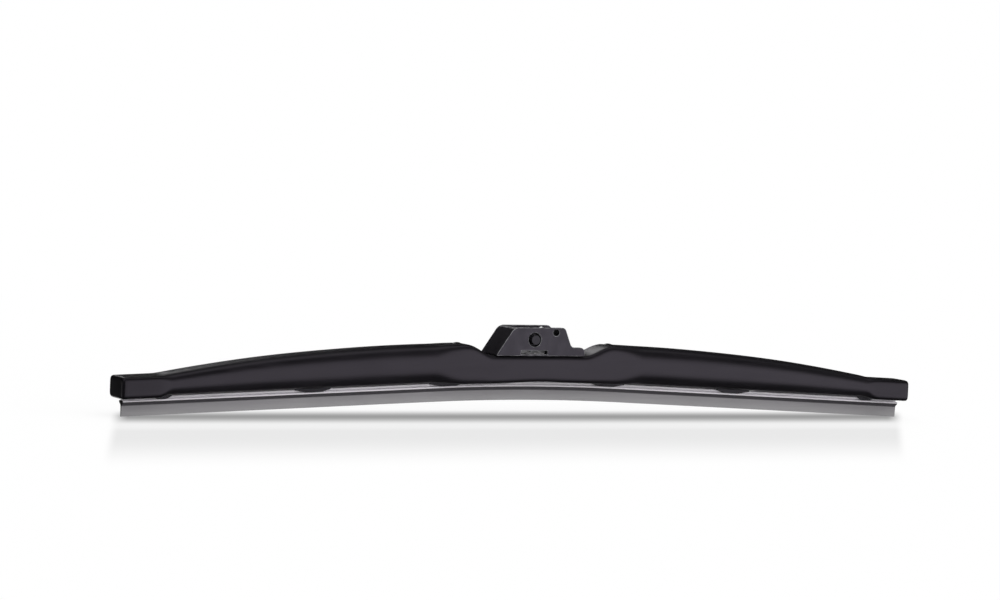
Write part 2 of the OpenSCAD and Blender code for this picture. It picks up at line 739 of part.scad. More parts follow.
// The clip turns on the pin and carries the arm's hook on its barrel
// The lugs behind the hook stand between the side plates and behind their cross holes
module hook_clip() {
    cheek_r = barrel_d / 2 + clip_wall;
    // The cheeks' top edge drops to back_z between the barrel and the lugs
    back_z = 0.6;
    neck_x = cheek_r + 1.6;
    lug_x = clip_l - lug_l;
    lug_draft = 0.6;
    barrel_half = hook_w / 2 + 1.4;
    cheek = rounded([[-cheek_r, -cheek_r, cheek_r * 0.95], [-cheek_r, cheek_r, cheek_r * 0.95],
        [cheek_r - 0.4, cheek_r, cheek_r * 0.7], [neck_x, back_z, 2.5],
        [lug_x - lug_draft, back_z, 1.5], [lug_x, lug_z, 1.2], [clip_l, lug_z, 1.8],
        [clip_l, -cheek_r, 1]]);
    color([0.14, 0.14, 0.15])
        difference() {
            union() {
                cross_pin(barrel_d, -barrel_half, barrel_half);
                mirrored_y()
                    plate(cheek, hook_w / 2, clip_half);
                translate([0, -barrel_half, -cheek_r])
                    cube([clip_l - 0.5, 2 * barrel_half, tongue_t]);
            }
            cross_pin(pin_d + 2 * run_gap, -clip_half - over, clip_half + over);
        }
}

module left() {
    mirror([1, 0, 0])
        children();
}

boot();
bridge();
connector();
hook_clip();
pivot_pin();
left() yoke();  // yoke_left
yoke();  // yoke_right
left() claw_yoke();  // claw_yoke_left
claw_yoke();  // claw_yoke_right
left() at(yoke_axis) rivet(bridge_half);  // yoke_rivet_left
at(yoke_axis) rivet(bridge_half);  // yoke_rivet_right
left() at(yoke_axis) yoke_liner();  // yoke_liner_left
at(yoke_axis) yoke_liner();  // yoke_liner_right
left() at(claw_axis) rivet(yoke_half);  // claw_rivet_left
at(claw_axis) rivet(yoke_half);  // claw_rivet_right
left() at(claw_axis) claw_liner();  // claw_liner_left
at(claw_axis) claw_liner();  // claw_liner_right
mirror([0, 1, 0]) vertebra();  // vertebra_front
vertebra();  // vertebra_back
squeegee();
boot_stud(-1);  // boot_stud_left
boot_stud(1);  // boot_stud_right
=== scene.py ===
import json
import math

import bmesh
import bpy
import numpy as np
from mathutils import Matrix, Vector


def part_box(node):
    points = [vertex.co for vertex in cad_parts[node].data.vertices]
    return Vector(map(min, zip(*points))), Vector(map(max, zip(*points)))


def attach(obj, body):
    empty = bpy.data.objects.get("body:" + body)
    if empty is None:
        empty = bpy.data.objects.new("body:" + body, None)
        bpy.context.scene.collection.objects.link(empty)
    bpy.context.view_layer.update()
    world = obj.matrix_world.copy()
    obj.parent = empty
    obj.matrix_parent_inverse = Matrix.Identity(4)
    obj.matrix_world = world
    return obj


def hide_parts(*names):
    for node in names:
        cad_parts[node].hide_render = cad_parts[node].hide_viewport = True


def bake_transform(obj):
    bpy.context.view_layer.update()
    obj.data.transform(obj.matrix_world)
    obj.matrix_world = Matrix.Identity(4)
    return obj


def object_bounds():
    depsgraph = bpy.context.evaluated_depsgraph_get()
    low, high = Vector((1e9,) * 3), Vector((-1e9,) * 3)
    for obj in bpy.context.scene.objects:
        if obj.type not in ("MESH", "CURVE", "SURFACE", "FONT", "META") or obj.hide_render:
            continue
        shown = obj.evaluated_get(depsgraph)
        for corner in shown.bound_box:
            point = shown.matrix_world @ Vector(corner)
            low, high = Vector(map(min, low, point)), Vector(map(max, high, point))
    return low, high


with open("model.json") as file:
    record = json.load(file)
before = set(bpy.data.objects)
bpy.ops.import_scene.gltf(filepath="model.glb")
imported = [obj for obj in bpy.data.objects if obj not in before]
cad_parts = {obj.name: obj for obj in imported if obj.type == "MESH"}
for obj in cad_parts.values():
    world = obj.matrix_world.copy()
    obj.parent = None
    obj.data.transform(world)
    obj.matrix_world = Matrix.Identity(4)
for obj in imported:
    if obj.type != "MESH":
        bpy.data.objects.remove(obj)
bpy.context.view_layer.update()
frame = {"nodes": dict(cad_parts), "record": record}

# Driving sizes, in metres. X runs along the blade, Z away from the glass, and the pivot pin is the
# origin
HALF_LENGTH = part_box("boot")[1].x
ELEMENT_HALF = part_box("squeegee")[1].x
STRIP_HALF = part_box("vertebra_back")[1].x
BOOT_HALF_WIDTH = 0.01065
BOOT_WALL = 0.0015
PIN_HEIGHT = 0.0252
BOW_HALF = 0.060
BOW_ANGLE = math.radians(2.55)
BOW_RADIUS = BOW_HALF / math.sin(BOW_ANGLE)
INNER_CLAW_X = 0.052
MIDDLE_CLAW_X = 0.136
END_CLAW_X = 0.228
CLAW_LENGTH = 0.022
END_CLAW_LENGTH = 0.012
YOKE_PIVOT_X = 0.112
CLAW_PIVOT_X = 0.18234

# Each side's sign along X, and its word in names
SIDES = ((-1, "left"), (1, "right"))

# The boot: its outline, the squareness of its section, the window under the connector, the slit
# with its wider claw slots, and the waves on its sides as (radians per metre, phase, share)
CREST_Z = -0.0032
CREST_X = 0.028
CREST_RADIUS = 1.083
SHOULDER_LIFT = 0.00045
CAP_Z = -0.0221
CAP_X = HALF_LENGTH - 0.021
CAP_STEP = 0.009
CAP_SKIRT = 0.0006
CAP_EDGE = 0.0018
CAP_SOLID_X = ELEMENT_HALF + 0.0001
HEAD_CLEAR = 0.0003
SADDLE_Z = -0.0095
SADDLE_X = 0.00415
SADDLE_FLOOR = 0.029
SADDLE_RIM = SADDLE_FLOOR + 0.017
REAR_SLOPE_EXTRA = 0.0025
LEFT_SAG = 0.0009
LEFT_SAG_START = (-INNER_CLAW_X - 0.006, -INNER_CLAW_X + 0.010)
LEFT_SAG_END = (-0.022, 0.004)
RIGHT_SAG = 0.0003
RIGHT_SAG_START = (0.010, 0.024)
RIGHT_SAG_END = (INNER_CLAW_X, INNER_CLAW_X + 0.012)
ARCH_SQUARE, SADDLE_SQUARE, CAP_SQUARE = 3.2, 8, 7.7
SQUARE_RAMP = 0.022
WINDOW = (-0.0138, 0.0250)
WINDOW_HALF = 0.00815
SLIT_HALF = 0.0035
CLAW_SLOT_HALF = 0.00495
CLAW_ROOM = 0.0034
CLAW_SLOT_RAMP = 0.002
SWELL = 0.00010
SWELL_WAVES = ((97, 0.8, 0.3), (231, 2.1, 0.2))

# The squeegee and its strips, in millimetres. Half of the squeegee's section and the whole of a
# strip's are lists of (y, depth below the head's top, corner radius); the pairs are depths between
# which the squeegee's finish changes, among them the groove painted paler against its shade and
# the painted shade that starts at the shoulder's foot
MM_PER_METRE = 1000
HALF_SECTION = ((0, 0, 0), (2.95, 0, 0.12), (2.95, 0.3, 0), (0.8, 0.3, 0), (0.8, 1.8, 0.1),
                (3.1, 1.8, 0.12), (3.1, 2.8, 0.12), (0.95, 4.3, 0.8), (0.68, 5.4, 2),
                (0.4, 10.8, 0.05), (0, 10.8, 0))
STRIP_SECTION = ((0.82, 0.33, 0.05), (3.08, 0.33, 0.08), (3.08, 1.0, 0.08), (0.82, 1.0, 0.05),
                 (0.82, 0.33, 0.05))
GROOVE_TOP = (0.95, 1.0)
GROOVE_LOW = (1.85, 1.8)
NECK_SHADE_START = (2.58, 2.70)
LIP_START = (4.70, 5.00)
LIP_SPAN = (4.8, 10.8)
LIP_ROOT = 4.7
LIP_HEIGHT = 6.1
LIP_SWAY = 0.05
LIP_WAVES = ((60, 0.4, 1), (143, 1.3, 0.6))

# The connector's nose between its side plates: where its dull finish and its painted shade start,
# and its half width
NOSE_X = (-0.0125, -0.0140)
NOSE_HALF = (0.01085, 0.01060)

# Where the soft pieces are cut
BOOT_CUTS = (0.090, 0.150)
ELEMENT_CUT = INNER_CLAW_X

# The photograph's camera, fitted to the blade's outline in its 1000 x 600 frame
IMAGE_WIDTH, IMAGE_HEIGHT = 1000, 600
FOCAL_PIXELS = 4425
CAMERA_DISTANCE = 2.58
CAMERA_YAW = math.radians(-26)
CAMERA_ELEVATION = math.radians(4)
CAMERA_ROLL = math.radians(2.44)
PIN_PIXEL = (526.8, 338.3)
SENSOR = 36
VIEW_REACH = 100

# How finely pieces are drawn: steps along the blade, rows round the end faces' edges, arcs of a
# section's corners, and the columns of the boot's section up one side and over the top
STEP_X = 0.00125
ELEMENT_STEP = 0.0025
CAP_EDGE_ROWS = 9
CORNER_STEPS = 4
SIDE_COLUMNS = 30
TOP_COLUMNS = 14
BEVEL_SEGMENTS = 2

# Edges past SHARP_ANGLE are shaded sharp and those past BROKEN_ANGLE are broken; triangles within
# FLAT_ANGLE of each other become one face, and points within JOIN_DISTANCE one point
SHARP_ANGLE = math.radians(38)
BROKEN_ANGLE = math.radians(40)
FLAT_ANGLE = math.radians(1)
JOIN_DISTANCE = 1e-6

# The floor, and on it the painted shade and reflection: their ends as squares of the half length
FLOOR_GAP = 0.0001
FLOOR_HALF = 12
SHADE_ENDS = (0.0665, 0.0600)
SHADE_HALF = 0.045
SHADE_STRENGTH = 0.64
REFLECTION_ENDS = (0.0665, 0.0625)
REFLECTION_FADE = (-0.27, -0.11)


def ease(x, a, b):
    """Smooth step: 0 at a, 1 at b, level at both ends."""
    t = np.clip((x - a) / (b - a), 0, 1)
    return t * t * (3 - 2 * t)


def mix(a, b, t):
    """The value a share t of the way from a to b."""
    return a + (b - a) * t


def head_z(x):
    """Top of the squeegee's head: an arc of BOW_RADIUS in the middle, straight slopes past it."""
    ax = np.abs(x)
    arc = BOW_RADIUS - np.sqrt(BOW_RADIUS ** 2 - np.minimum(ax, BOW_HALF) ** 2)
    return -PIN_HEIGHT - arc - np.maximum(ax - BOW_HALF, 0) * math.tan(BOW_ANGLE)


def saddle(x):
    """1 on the saddle's floor, 0 past its rims, a smooth step between, longer behind the
    connector."""
    rim = SADDLE_RIM + REAR_SLOPE_EXTRA * (x > SADDLE_X)
    return 1 - ease(np.abs(x - SADDLE_X), SADDLE_FLOOR, rim)


def cap(x):
    """1 on the end caps, 0 on the arch, a smooth step between."""
    return ease(np.abs(x), CAP_X - CAP_STEP, CAP_X)


def boot_top(x):
    """Top edge of the boot: a long arc, a little fuller towards the ends, cut down to the saddle in
    the middle and to the caps, whose tops slope as the squeegee does."""
    ax = np.abs(x)
    arch = CREST_Z - np.maximum(0, ax - CREST_X) ** 2 / (2 * CREST_RADIUS)
    arch = arch + SHOULDER_LIFT * ease(ax, YOKE_PIVOT_X, CLAW_PIVOT_X)
    cap_top = CAP_Z - (ax - CAP_X) * math.tan(BOW_ANGLE)
    return mix(mix(arch, SADDLE_Z, saddle(x)), cap_top, cap(x))


def boot_low(x):
    """Underside of the boot: it follows the head, sags inside the inner claws, most on the left,
    and has a skirt on the caps."""
    left = LEFT_SAG * ease(x, *LEFT_SAG_START) * (1 - ease(x, *LEFT_SAG_END))
    right = RIGHT_SAG * ease(x, *RIGHT_SAG_START) * (1 - ease(x, *RIGHT_SAG_END))
    return head_z(x) + HEAD_CLEAR - left - right - (CAP_SKIRT + HEAD_CLEAR) * cap(x)


def squareness(x):
    """Power of the boot's superellipse section: round on the arch, square round the saddle and on
    the caps."""
    boxed = 1 - ease(np.abs(x - SADDLE_X), SADDLE_RIM, SADDLE_RIM + SQUARE_RAMP)
    return mix(mix(ARCH_SQUARE, SADDLE_SQUARE, boxed), CAP_SQUARE, cap(x))


def slit_edge(x):
    """Half width of the slit in the boot's underside: the head's width, wider around each claw."""
    ax = np.abs(x)
    wide = np.zeros_like(ax)
    for place, length in ((INNER_CLAW_X, CLAW_LENGTH), (MIDDLE_CLAW_X, CLAW_LENGTH),
                          (END_CLAW_X, END_CLAW_LENGTH)):
        reach = length / 2 + CLAW_ROOM
        wide = np.maximum(wide, 1 - ease(np.abs(ax - place), reach, reach + CLAW_SLOT_RAMP))
    return mix(SLIT_HALF, CLAW_SLOT_HALF, wide)


def waves(x, parts, start=0):
    """Start plus a sum of sines along the blade; parts are (radians per metre, phase, share)."""
    return sum((np.sin(x * rate + phase) * share for rate, phase, share in parts), start)


class Wire:
    """A socket in a material; arithmetic on wires adds the Math nodes that work it out."""

    def __init__(self, finish, socket):
        self.finish = finish
        self.socket = socket

    def math(self, operation, first, second):
        """A Math node's result for two wires or numbers."""
        return self.finish.add("ShaderNodeMath", {"operation": operation}, {0: first, 1: second})

    def __add__(self, other):
        return self.math("ADD", self, other)

    def __sub__(self, other):
        return self.math("SUBTRACT", self, other)

    def __rsub__(self, other):
        return self.math("SUBTRACT", other, self)

    def __mul__(self, other):
        return self.math("MULTIPLY", self, other)

    def __pow__(self, other):
        return self.math("POWER", self, other)

    def ramp(self, low, high, start=0.0, end=1.0):
        """This value carried from low..high onto start..end, smoothly and without going past."""
        return self.finish.add("ShaderNodeMapRange", {"interpolation_type": "SMOOTHSTEP"}, {
            "Value": self, "From Min": low, "From Max": high, "To Min": start, "To Max": end})

    def output(self, name):
        """Another output of this wire's node."""
        return Wire(self.finish, self.socket.node.outputs[name])


class Finish:
    """The node tree of a material or a world, built with expressions."""

    def __init__(self, owner):
        self.owner = owner
        owner.use_nodes = True
        self.tree = owner.node_tree
        self.tree.nodes.clear()

    def add(self, kind, settings=None, sockets=None, out=0):
        """A node of that kind: its settings first, then the values or links of its sockets."""
        node = self.tree.nodes.new(kind)
        for name, value in (settings or {}).items():
            setattr(node, name, value)
        for name, value in (sockets or {}).items():
            if isinstance(value, Wire):
                self.tree.links.new(value.socket, node.inputs[name])
            else:
                node.inputs[name].default_value = value
        return Wire(self, node.outputs[out]) if node.outputs else None

    def coordinates(self):
        """Object coordinates, in metres."""
        return self.add("ShaderNodeTexCoord", out=3)

    def spot(self):
        """The object coordinates' X; its outputs Y and Z are the others."""
        return self.add("ShaderNodeSeparateXYZ", None, {0: self.coordinates()})

    def noise(self, size, stretch=(1, 1, 1), detail=3.0, rough=0.5):
        """Soft noise from 0 to 1: blotches about size metres across, drawn out by stretch."""
        scale = tuple(1 / (size * s) for s in stretch)
        place = self.add("ShaderNodeMapping", None, {"Vector": self.coordinates(), "Scale": scale})
        return self.add("ShaderNodeTexNoise", None, {
            "Vector": place, "Scale": 1.0, "Detail": detail, "Roughness": rough})

    def blend(self, share, first, second):
        """Colour between first and second by share."""
        return self.add("ShaderNodeMix", {"data_type": "RGBA", "clamp_factor": True},
                        {0: share, 6: first, 7: second}, out=2)

    def bump(self, height, depth, strength):
        """A normal disturbed by height, which is in units of depth metres."""
        return self.add("ShaderNodeBump", None, {
            "Height": height, "Distance": depth, "Strength": strength})

    def principled(self, **sockets):
        """A Principled shader; names are its sockets' with underscores for spaces."""
        return self.add("ShaderNodeBsdfPrincipled", None,
                        {name.replace("_", " "): value for name, value in sockets.items()})

    def output(self, shader, kind="Material"):
        """Makes shader the surface, and gives back the material or world."""
        self.add(f"ShaderNodeOutput{kind}", None, {"Surface": shader})
        return self.owner

    def surface(self, **sockets):
        """A finished Principled material."""
        return self.output(self.principled(**sockets))


def grey(value, warm=0.0, blue=0.0):
    """A grey colour, with a little more red or blue."""
    return (value * (1 + warm), value, value * (1 + blue), 1)


def boot_rubber(f):
    """Near-black moulded rubber: soft blotches and streaks along the blade, a fine grain and dull
    gloss. The caps are a little blacker than the arch."""
    spot = f.spot()
    on_cap = (spot * spot).ramp((CAP_X - CAP_STEP) ** 2, CAP_X ** 2)
    blotch = f.noise(0.016, (3, 1, 1), 4)
    streak = f.noise(0.0022, (14, 1, 1), 3, 0.6)
    grain = f.noise(0.00028, detail=2)
    tone = blotch * 0.6 + streak * 0.4
    colour = f.blend(tone.ramp(0.3, 0.72), grey(0.0060, 0.1, 0.2), grey(0.0115, 0.1, 0.22))
    colour = f.blend(on_cap * 0.7, colour, grey(0.0015, 0.1, 0.2))
    height = grain * 0.35 + streak * 0.4 + blotch * 2.2
    return f.surface(Base_Color=colour, Roughness=tone.ramp(0.25, 0.75, 0.27, 0.38),
                     Specular_IOR_Level=0.32, Specular_Tint=(0.92, 0.83, 1, 1),
                     Normal=f.bump(height, 0.00006, 0.7))


def connector_plastic(f):
    """Black glass-filled plastic with a fine spark-eroded grain, dull on the nose between the side
    plates, where its colour is also painted near black as shade."""
    cloud = f.noise(0.006, detail=3)
    grain = f.noise(0.00022, detail=2, rough=0.6)
    spot = f.spot()
    across = spot.output("Y") ** 2
    nose = spot.ramp(*NOSE_X) * across.ramp(NOSE_HALF[0] ** 2, NOSE_HALF[1] ** 2)
    colour = f.blend(cloud.ramp(0.35, 0.7), grey(0.0055, 0.05, 0.2), grey(0.0095, 0.05, 0.2))
    # The nose's colour is painted near black: a painted shade
    colour = f.blend(nose * 0.8, colour, grey(0.001))
    return f.surface(Base_Color=colour, Roughness=cloud.ramp(0.3, 0.7, 0.34, 0.44) + nose * 0.42,
                     Specular_IOR_Level=0.53, Specular_Tint=(0.90, 0.82, 1, 1),
                     Normal=f.bump(grain, 0.00004, 0.6))


def connector_edge_highlight(f):
    """The connector's broken edges, painted a little paler than their faces as a highlight."""
    glint_noise = f.noise(0.0035, detail=4, rough=0.6)
    colour = f.blend(glint_noise.ramp(0.3, 0.7), grey(0.07, 0, 0.1), grey(0.32, 0, 0.06))
    return f.surface(Base_Color=colour, Roughness=glint_noise.ramp(0.3, 0.7, 0.30, 0.42),
                     Specular_IOR_Level=0.5)


def bare_edge_and_glint(f):
    """Pressed steel's edges where the coating has rubbed through to bare metal, painted paler still
    as a glint.
    """
    glint_noise = f.noise(0.0011, (2, 1, 1), 4, 0.6)
    colour = f.blend(glint_noise.ramp(0.4, 0.6), grey(0.25, 0.02, 0.04), grey(0.72, 0.02, 0.03))
    return f.surface(Base_Color=colour, Metallic=glint_noise.ramp(0.4, 0.6, 0.2, 0.6),
                     Roughness=glint_noise.ramp(0.3, 0.7, 0.40, 0.55))


def black_steel(f):
    """Black coated pressed steel: satin, with an orange-peel ripple."""
    peel = f.noise(0.0011, detail=2)
    cloud = f.noise(0.012, detail=3)
    colour = f.blend(cloud.ramp(0.3, 0.7), grey(0.010, 0, 0.1), grey(0.018, 0, 0.1))
    return f.surface(Base_Color=colour, Roughness=cloud.ramp(0.3, 0.7, 0.34, 0.46),
                     Specular_IOR_Level=0.22, Specular_Tint=(0.92, 0.85, 1, 1),
                     Normal=f.bump(peel, 0.00003, 0.7))


def clip_plastic(f):
    """Smooth black plastic with faint flow marks."""
    flow = f.noise(0.003, (4, 1, 1), 4)
    colour = f.blend(flow.ramp(0.3, 0.7), grey(0.007, 0, 0.08), grey(0.012, 0, 0.08))
    return f.surface(Base_Color=colour, Roughness=flow.ramp(0.3, 0.7, 0.30, 0.42),
                     Specular_IOR_Level=0.4, Normal=f.bump(flow, 0.00003, 0.5))


def pin_steel(f):
    """Dark phosphated steel, turned: fine rings show on its end faces."""
    blotch = f.noise(0.0016, detail=4)
    fine = f.noise(0.00018, (1, 6, 1), 2)
    colour = f.blend(blotch.ramp(0.3, 0.7), grey(0.010, 0.04, 0.2), grey(0.018, 0.04, 0.2))
    return f.surface(Base_Color=colour, Roughness=blotch.ramp(0.3, 0.7, 0.38, 0.50),
                     Specular_IOR_Level=0.40, Specular_Tint=(0.92, 0.86, 1, 1),
                     Normal=f.bump(fine, 0.00003, 0.6))


def rivet_steel(f):
    """Zinc-plated rivets, slightly clouded."""
    cloud = f.noise(0.0012, detail=4)
    colour = f.blend(cloud.ramp(0.3, 0.7), grey(0.40, 0.02, 0.03), grey(0.55, 0.02, 0.03))
    return f.surface(Base_Color=colour, Metallic=1.0, Roughness=cloud.ramp(0.3, 0.7, 0.28, 0.45))


def liner_plastic(f):
    """Dull black liner plastic."""
    cloud = f.noise(0.002, detail=3)
    colour = f.blend(cloud.ramp(0.3, 0.7), grey(0.014), grey(0.022))
    return f.surface(Base_Color=colour, Roughness=cloud.ramp(0.3, 0.7, 0.5, 0.62))


def spring_steel(f):
    """Bright stainless strip with rolling marks along the blade."""
    rolled = f.noise(0.0002, (60, 1, 1), 3)
    cloud = f.noise(0.02, (3, 1, 1), 2)
    colour = f.blend(cloud.ramp(0.3, 0.7), grey(0.60, 0.04, 0.06), grey(0.70, 0.04, 0.06))
    return f.surface(Base_Color=colour, Metallic=0.25, Roughness=rolled.ramp(0.3, 0.7, 0.38, 0.52),
                     Normal=f.bump(rolled, 0.00001, 0.4))


def squeegee_rubber(f):
    """Coated rubber: pale on the head, its groove painted paler still against the groove's shade;
    black under the shoulder, a painted shade from the shoulder's foot down the neck; grey and
    paler downwards on the lip. Depth below the head's top comes from the piece's own attribute,
    in millimetres."""
    depth = f.add("ShaderNodeAttribute", {"attribute_name": "depth"}, out=2)
    streak = f.noise(0.0012, (40, 1, 1), 4, 0.6)
    dust = f.noise(0.009, (5, 1, 1), 4, 0.6)
    painted_neck_shade = depth.ramp(*NECK_SHADE_START)
    on_lip = depth.ramp(*LIP_START)
    lip = f.blend(depth.ramp(*LIP_SPAN), grey(0.255, 0.04, 0.06), grey(0.33, 0.02, 0.03))
    head = f.blend(dust.ramp(0.3, 0.7), grey(0.74, 0.04, 0.06), grey(0.84, 0.04, 0.06))
    # The groove is painted paler than the head: painted light against the groove's shade
    painted_groove_light = depth.ramp(*GROOVE_TOP) * depth.ramp(*GROOVE_LOW)
    head = f.blend(painted_groove_light * 0.9, head, grey(0.90, 0.03, 0.04))
    # Black from the shoulder's foot to the lip: a painted shade
    colour = f.blend(painted_neck_shade, head, grey(0.066, 0.06, 0.12))
    colour = f.blend(on_lip, colour, lip)
    wear = (dust * 0.5 + streak * 0.5).ramp(0.42, 0.7, 0, 0.2) * (1 - painted_neck_shade + on_lip)
    colour = f.blend(wear, colour, grey(0.50, 0.02, 0.02))
    return f.surface(Base_Color=colour, Roughness=streak.ramp(0.3, 0.7, 0.44, 0.6),
                     Specular_IOR_Level=0.35, Normal=f.bump(streak, 0.00002, 0.5))


def cut_rubber(f):
    """Dark rubber of the squeegee's cut ends."""
    rough = f.noise(0.0005, detail=3)
    colour = f.blend(rough.ramp(0.3, 0.7), grey(0.006), grey(0.012))
    return f.surface(Base_Color=colour, Roughness=rough.ramp(0.3, 0.7, 0.55, 0.7),
                     Specular_IOR_Level=0.2, Normal=f.bump(rough, 0.00005, 0.6))


def stud_plastic(f):
    """Smooth black domed studs."""
    cloud = f.noise(0.0015, detail=2)
    colour = f.blend(cloud.ramp(0.3, 0.7), grey(0.010), grey(0.016))
    return f.surface(Base_Color=colour, Roughness=cloud.ramp(0.3, 0.7, 0.26, 0.36))


MATERIALS = {make.__name__: make(Finish(bpy.data.materials.new(make.__name__))) for make in (
    boot_rubber, connector_plastic, connector_edge_highlight, black_steel, bare_edge_and_glint, clip_plastic,
    pin_steel, rivet_steel, liner_plastic, spring_steel, squeegee_rubber, cut_rubber, stud_plastic)}


def placed(name, data):
    """A new object, placed in the scene."""
    obj = bpy.data.objects.new(name, data)
    bpy.context.scene.collection.objects.link(obj)
    return obj


def shade_smooth(mesh):
    """Smooth shading that keeps the sharp edges sharp."""
    mesh.polygons.foreach_set("use_smooth", np.ones(len(mesh.polygons), bool))
    mesh.set_sharp_from_angle(angle=SHARP_ANGLE)


def piece(name, points, faces, slot, depth=None, cut_faces=0):
    """A visible piece made of points and faces. The last cut_faces are cut rubber; depth becomes
    an attribute of the points."""
    mesh = bpy.data.meshes.new(name)
    mesh.from_pydata(points.tolist(), [], faces)
    mesh.materials.append(MATERIALS[slot])
    if cut_faces:
        mesh.materials.append(MATERIALS["cut_rubber"])
        index = np.zeros(len(mesh.polygons), np.int32)
        index[-cut_faces:] = 1
        mesh.polygons.foreach_set("material_index", index)
    shade_smooth(mesh)
    if depth is not None:
        attribute = mesh.attributes.new("depth", "FLOAT", "POINT")
        attribute.data.foreach_set("value", depth.astype(np.float32))
    mesh.validate()
    obj = placed(name, mesh)
    return obj


def grid_faces(rows, columns, flip=False, keep=None):
    """Quads of a grid of points stored row by row, its last column joined to its first. Keep says
    which of them are wanted."""
    i, j = np.meshgrid(np.arange(rows - 1), np.arange(columns), indexing="ij")
    if keep is not None:
        i, j = i[keep], j[keep]
    i, j = i.ravel(), j.ravel()
    k = (j + 1) % columns
    here, ahead = i * columns, (i + 1) * columns
    quads = np.stack([here + j, here + k, ahead + k, ahead + j], 1)
    if flip:
        quads = quads[:, ::-1]
    return quads.tolist()


def end_rows(rows, columns):
    """The corners of a grid's first row and of its last, in order."""
    return list(range(columns)), list(range((rows - 1) * columns, rows * columns))


def along(start, end, step=STEP_X):
    """Places from start to end, about a step apart."""
    return np.linspace(start, end, max(2, int(round(abs(end - start) / step)) + 1))


def boot_arc(x, inset):
    """One arc of the boot's section at each x, drawn in by inset: a superellipse from the slit's
    edge up the side, over the top and down again. Two columns run along y = +-WINDOW_HALF on the
    top."""
    half = BOOT_HALF_WIDTH - inset
    power = squareness(x)[:, None] / 2
    low_angle = -np.arccos((slit_edge(x)[:, None] / half) ** power)
    top_angle = np.arccos((WINDOW_HALF / half) ** power)
    side = np.linspace(0, 1, SIDE_COLUMNS + 1)[None, :]
    over = np.linspace(0, 1, TOP_COLUMNS + 1)[None, 1:-1]
    right = mix(low_angle, top_angle, side)
    middle = mix(top_angle, math.pi - top_angle, over)
    angle = np.concatenate([right, middle, math.pi - right[:, ::-1]], 1)
    cos, sin = np.cos(angle), np.sin(angle)
    top, low = boot_top(x)[:, None] - inset, boot_low(x)[:, None] + inset
    y = half * np.sign(cos) * np.abs(cos) ** (1 / power)
    z = (top + low) / 2 + (top - low) / 2 * np.sign(sin) * np.abs(sin) ** (1 / power)
    # Hand-moulded rubber is never quite flat: a few long, low waves on the sides
    wave = waves(x, SWELL_WAVES, 0.5)[:, None]
    swell = SWELL * wave * np.abs(cos) * (1 - cap(x))[:, None] * (1 - saddle(x))[:, None]
    y = y - np.sign(y) * swell * (inset == 0)
    return np.stack([np.broadcast_to(x[:, None], y.shape), y, z], -1)


def window_walls(open_rows, columns):
    """The four walls of the window under the connector, from the outer arc to the inner arc round
    the open rows."""
    width = 2 * columns
    first, last = SIDE_COLUMNS, SIDE_COLUMNS + TOP_COLUMNS
    row_a, row_b = open_rows[0], open_rows[-1] + 1

    def quad(a, b, p, q):
        """A face from outer points a of row p and b of row q to the inner points under them."""
        p, q = p * width, q * width
        return [p + a, q + b, q + width - 1 - b, p + width - 1 - a]

    faces = []
    for c in range(first, last):
        faces.append(quad(c, c + 1, row_a, row_a))
        faces.append(quad(c + 1, c, row_b, row_b))
    for r in range(row_a, row_b):
        faces.append(quad(first, first, r + 1, r))
        faces.append(quad(last, last, r, r + 1))
    return faces


def boot_stretch(start, end):
    """The boot's wall from start to end: the outer arc and the inner arc make one closed loop at
    each x, and the loops are joined from start to end. A length that holds the window is left open
    there and walled."""
    x = along(start, end)
    windowed = start < WINDOW[0] and end > WINDOW[1]
    if windowed:
        x = np.concatenate([along(start, WINDOW[0]), along(*WINDOW)[1:], along(WINDOW[1], end)[1:]])
    outer, inner = boot_arc(x, 0), boot_arc(x, BOOT_WALL)
    rows, columns = outer.shape[:2]
    loops = np.concatenate([outer, inner[:, ::-1]], 1)
    keep, walls = None, []
    if windowed:
        middle = (x[:-1] + x[1:]) / 2
        open_row = (middle > WINDOW[0]) & (middle < WINDOW[1])
        # The inner arc's columns run back under the outer arc's, so they are counted from the end
        column = np.arange(2 * columns)
        column = np.minimum(column, 2 * columns - 2 - column)
        open_column = (column >= SIDE_COLUMNS) & (column < SIDE_COLUMNS + TOP_COLUMNS)
        keep = ~(open_row[:, None] & open_column)
        walls = window_walls(np.flatnonzero(open_row), columns)
    faces = grid_faces(rows, 2 * columns, keep=keep) + walls
    for row, flip in ((0, True), (rows - 1, False)):
        outer_column = np.arange(columns - 1)
        inner_column = 2 * columns - 1 - outer_column
        ends = np.stack([outer_column, outer_column + 1, inner_column - 1, inner_column], 1)
        ends = ends[:, ::-1] if flip else ends
        faces += (ends + row * 2 * columns).tolist()
    return loops.reshape(-1, 3), faces


def boot_end_wall(side):
    """The solid end of a cap: the section's outer arc closed below, carried outwards and drawn in
    round the end face's edge by a quarter circle."""
    turn = np.linspace(0, math.pi / 2, CAP_EDGE_ROWS)
    plain = along(CAP_SOLID_X, HALF_LENGTH - CAP_EDGE)
    x = np.concatenate([plain, HALF_LENGTH - CAP_EDGE * (1 - np.sin(turn[1:]))])
    inset = np.concatenate([np.zeros(len(plain)), CAP_EDGE * (1 - np.cos(turn[1:]))])
    rings = np.stack([boot_arc(np.array([min(a, HALF_LENGTH - CAP_EDGE)]) * side, b)[0]
                      for a, b in zip(x, inset)])
    rings[..., 0] = side * x[:, None]
    rows, columns = rings.shape[:2]
    faces = grid_faces(rows, columns, flip=side < 0)
    near, far = end_rows(rows, columns)
    faces += [near[::-1], far] if side > 0 else [near, far[::-1]]
    return rings.reshape(-1, 3), faces


def merged(*parts):
    """Several lists of points and faces as one."""
    points, faces, count = [], [], 0
    for p, f in parts:
        points.append(p)
        faces += [[v + count for v in face] for face in f]
        count += len(p)
    return np.concatenate(points), faces


